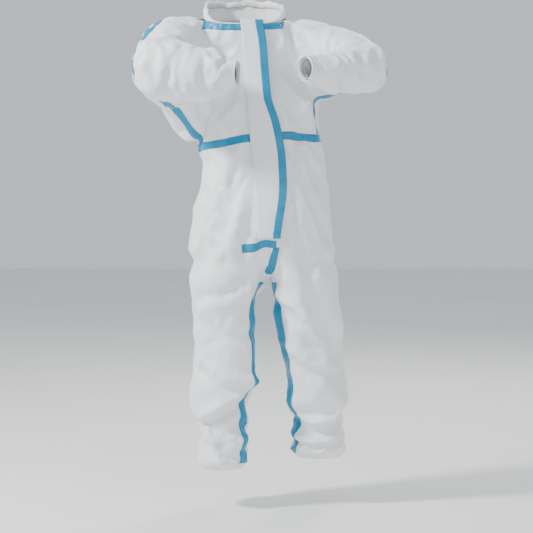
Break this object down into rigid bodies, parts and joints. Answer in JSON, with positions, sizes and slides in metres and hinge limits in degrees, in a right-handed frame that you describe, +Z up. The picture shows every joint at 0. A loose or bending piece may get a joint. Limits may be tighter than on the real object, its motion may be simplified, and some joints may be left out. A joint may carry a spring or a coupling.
{
  "type": "hooded chemical protective coverall",
  "caption": "White hooded protective coverall with taped blue seams, a zip under a storm flap and elastic wrists, ankles and waist, shaped as worn with the forearms raised.",
  "frame": {"origin": "middle of the neck opening", "axes": "+Z up, the suit faces -Y, the wearer's right-hand side is -X"},
  "size_m": [0.6648, 0.4581, 1.248],
  "materials": {
    "white_fabric": "smooth film-faced nonwoven with a faint bonded grain, soft sheen",
    "seam_tape": "heat-sealed satin film",
    "elastic": "ribbed woven elastic",
    "zip_cloth": "fine woven tape",
    "zip_plastic": "moulded nylon",
    "adhesive": "release-paper gloss"
  },
  "bodies": {
    "suit": {"bodice_front_right": "white_fabric", "bodice_front_left": "white_fabric", "bodice_back": "white_fabric", "trousers_right": "white_fabric", "trousers_left": "white_fabric", "flap_root": "white_fabric", "zip_facing": "white_fabric", "zip_tape_right": "zip_cloth", "zip_tape_left": "zip_cloth", "zip_teeth_right": "zip_plastic", "zip_teeth_left": "zip_plastic", "zip_top_stop_right": "zip_plastic", "zip_top_stop_left": "zip_plastic", "zip_bottom_stop": "zip_plastic", "hood_collar": "white_fabric", "hood_elastic": "elastic", "ankle_elastic_right": "elastic", "ankle_elastic_left": "elastic", "waist_elastic": "elastic", "neck_tape_front_right": "seam_tape", "neck_tape_front_left": "seam_tape", "neck_tape_back": "seam_tape", "chest_tape_front_right": "seam_tape", "chest_tape_front_left": "seam_tape", "chest_tape_back": "seam_tape", "shoulder_tape_right": "seam_tape", "underarm_tape_right": "seam_tape", "shoulder_tape_left": "seam_tape", "underarm_tape_left": "seam_tape", "flap_end_tape": "seam_tape", "crotch_tape_front": "seam_tape", "crotch_tape_back": "seam_tape", "inseam_tape_right": "seam_tape", "inseam_tape_left": "seam_tape"},
    "flap": {"storm_flap": "white_fabric", "flap_edge_tape": "seam_tape", "flap_adhesive": "adhesive"},
    "slider": {"zip_slider": "zip_plastic", "zip_pull": "zip_plastic"},
    "hood": {"hood_centre": "white_fabric", "hood_side_right": "white_fabric", "hood_side_left": "white_fabric", "hood_tape_right": "seam_tape", "hood_tape_left": "seam_tape"},
    "right_forearm": {"forearm_right": "white_fabric", "forearm_tape_right": "seam_tape", "wrist_elastic_right": "elastic"},
    "left_forearm": {"forearm_left": "white_fabric", "forearm_tape_left": "seam_tape", "wrist_elastic_left": "elastic"}
  },
  "joints": [
    {"name": "flap_open", "type": "hinge", "parent": "suit", "child": "flap", "pos_m": [-0.0221, -0.1044, -0.0013], "axis": [0.082, -0.0861, -0.9929], "range_deg": [0, 150]},
    {"name": "zip_slide", "type": "slide", "parent": "suit", "child": "slider", "axis": [0.082, -0.0861, -0.9929], "range_m": [0, 0.466]},
    {"name": "hood_raise", "type": "hinge", "parent": "suit", "child": "hood", "pos_m": [-0.014, 0.08, 0.057], "axis": [1, 0, 0], "range_deg": [0, 150]},
    {"name": "right_elbow_straighten", "type": "hinge", "parent": "suit", "child": "right_forearm", "pos_m": [-0.2913, -0.2375, -0.125], "axis": [-0.0745, 0.2718, -0.9595], "range_deg": [0, 70]},
    {"name": "left_elbow_straighten", "type": "hinge", "parent": "suit", "child": "left_forearm", "pos_m": [0.3602, -0.1332, -0.1181], "axis": [0.0753, -0.2953, 0.9524], "range_deg": [0, 70]}
  ]
}
